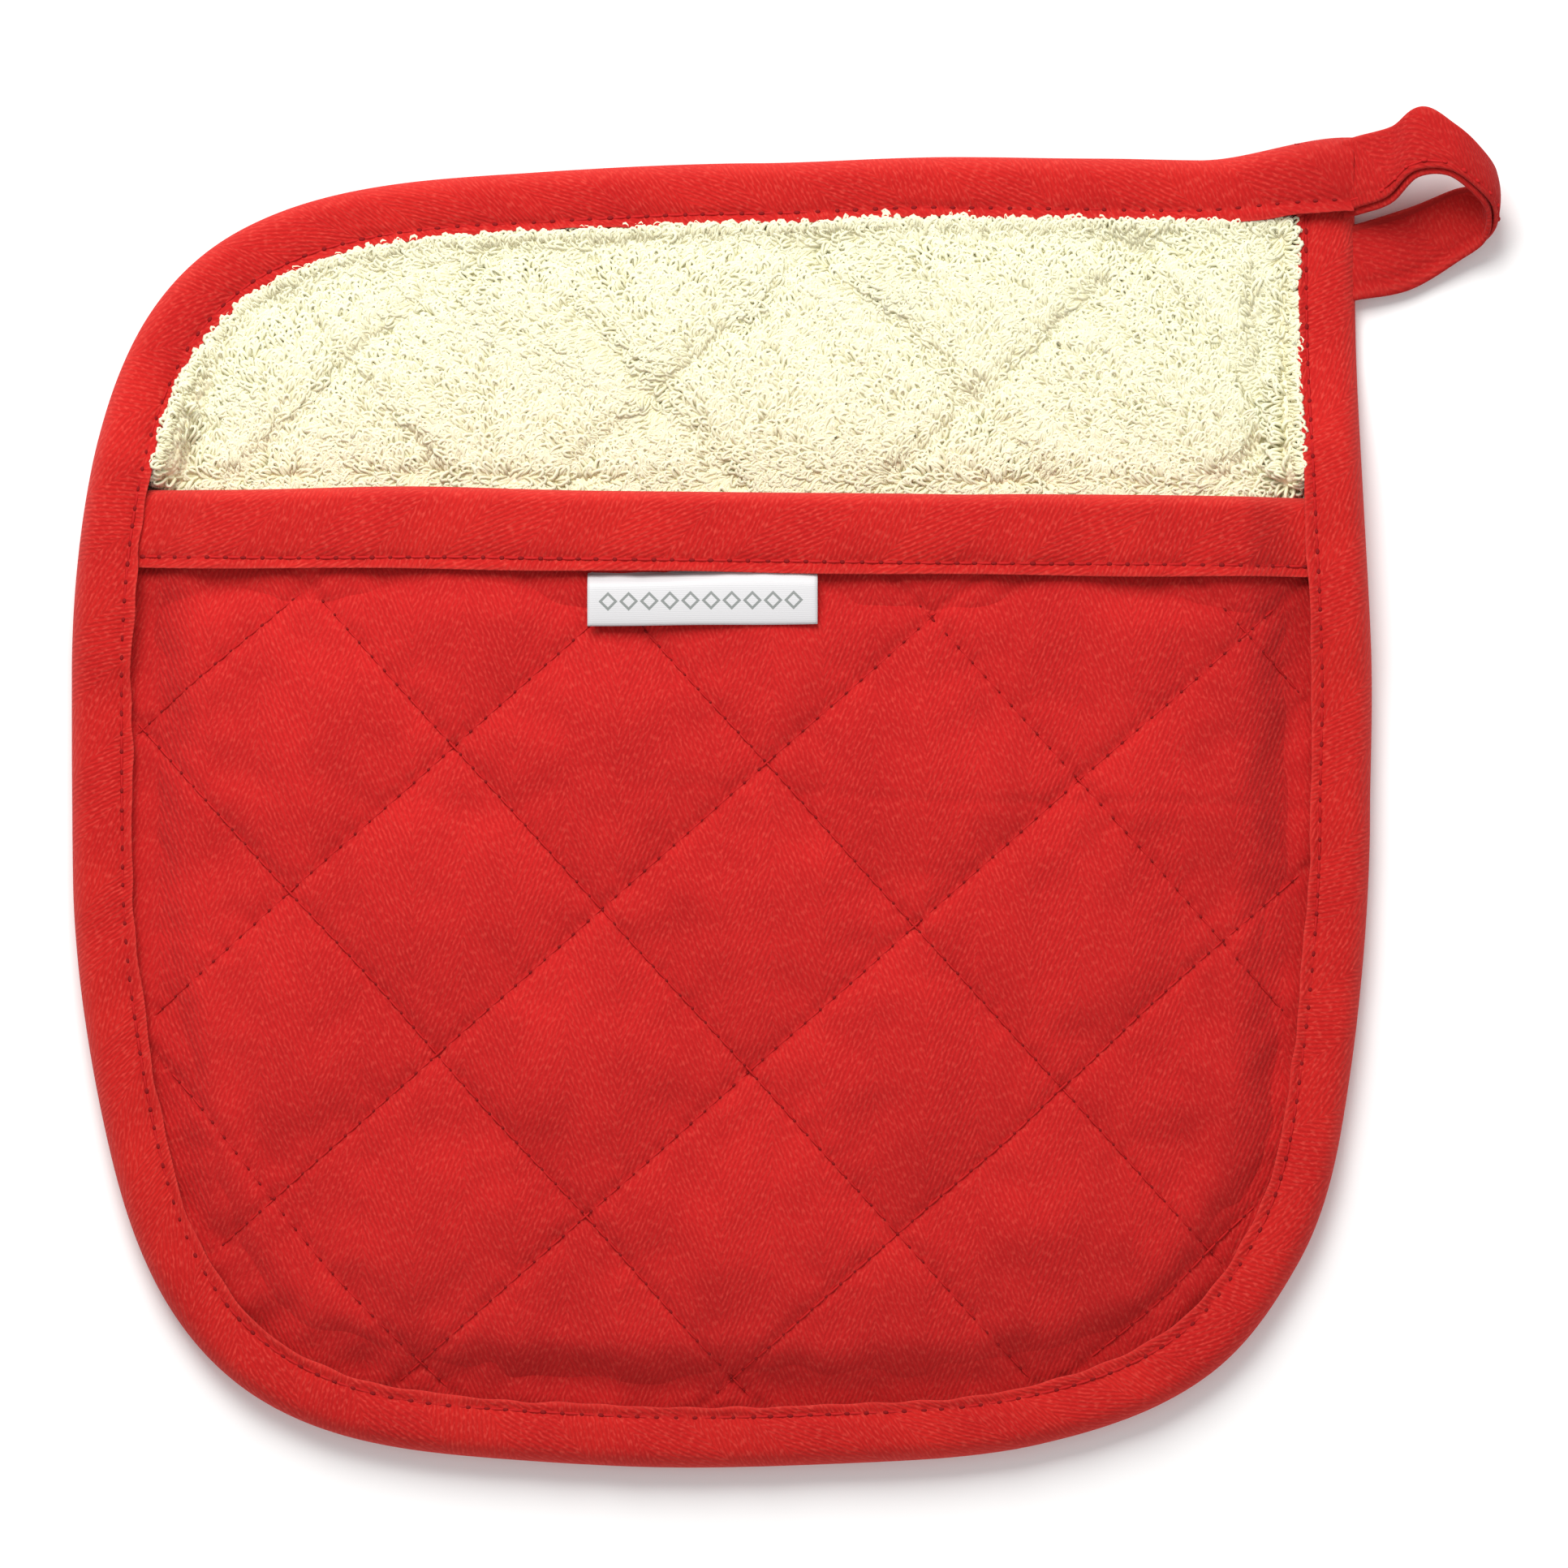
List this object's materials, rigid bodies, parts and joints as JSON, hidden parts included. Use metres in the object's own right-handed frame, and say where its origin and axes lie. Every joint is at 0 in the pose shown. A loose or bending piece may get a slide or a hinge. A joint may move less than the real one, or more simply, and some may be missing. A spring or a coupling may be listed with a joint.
{
  "type": "oven mitt",
  "caption": "Square quilted pocket mitt with a terry lining, bound edges, a hand pocket with a bound mouth, a woven label and a corner hanging loop.",
  "frame": {"origin": "middle of the back face, half way between the left and right edges and between the bottom and top edges of the body", "axes": "+Z out of the back panel towards the pocket side, +Y towards the bound top edge that the pocket's mouth faces, +X towards the side that carries the hanging loop"},
  "size_m": [0.2244, 0.2118, 0.022],
  "materials": {
    "twill": "red cotton herringbone twill",
    "tape": "red cotton herringbone binding tape",
    "terry": "cream looped cotton terry",
    "wadding": "white needled wadding",
    "red_thread": "red sewing thread",
    "cream_thread": "cream sewing thread",
    "label": "white woven satin"
  },
  "bodies": {
    "mitt": {"back_shell": "twill", "back_wadding": "wadding", "back_lining": "terry", "back_quilting_thread": "cream_thread", "front_lining": "terry", "front_wadding": "wadding", "front_shell": "twill", "front_quilting_thread": "red_thread", "pocket_binding": "tape", "pocket_seam_thread": "red_thread", "edge_binding": "tape", "edge_seam_thread": "red_thread"},
    "loop": {"hanging_loop": "tape", "loop_seam_thread": "red_thread"},
    "label": {"label": "label"}
  },
  "joints": [
    {"name": "loop_swing", "type": "hinge", "parent": "mitt", "child": "loop", "pos_m": [0.0992, 0.1, 0.0056], "axis": [0, -1, 0], "range_deg": [0, 90]},
    {"name": "label_flip", "type": "hinge", "parent": "mitt", "child": "label", "pos_m": [-0.00285, 0.0365, 0.0207], "axis": [-1, 0, 0], "range_deg": [0, 110]}
  ]
}
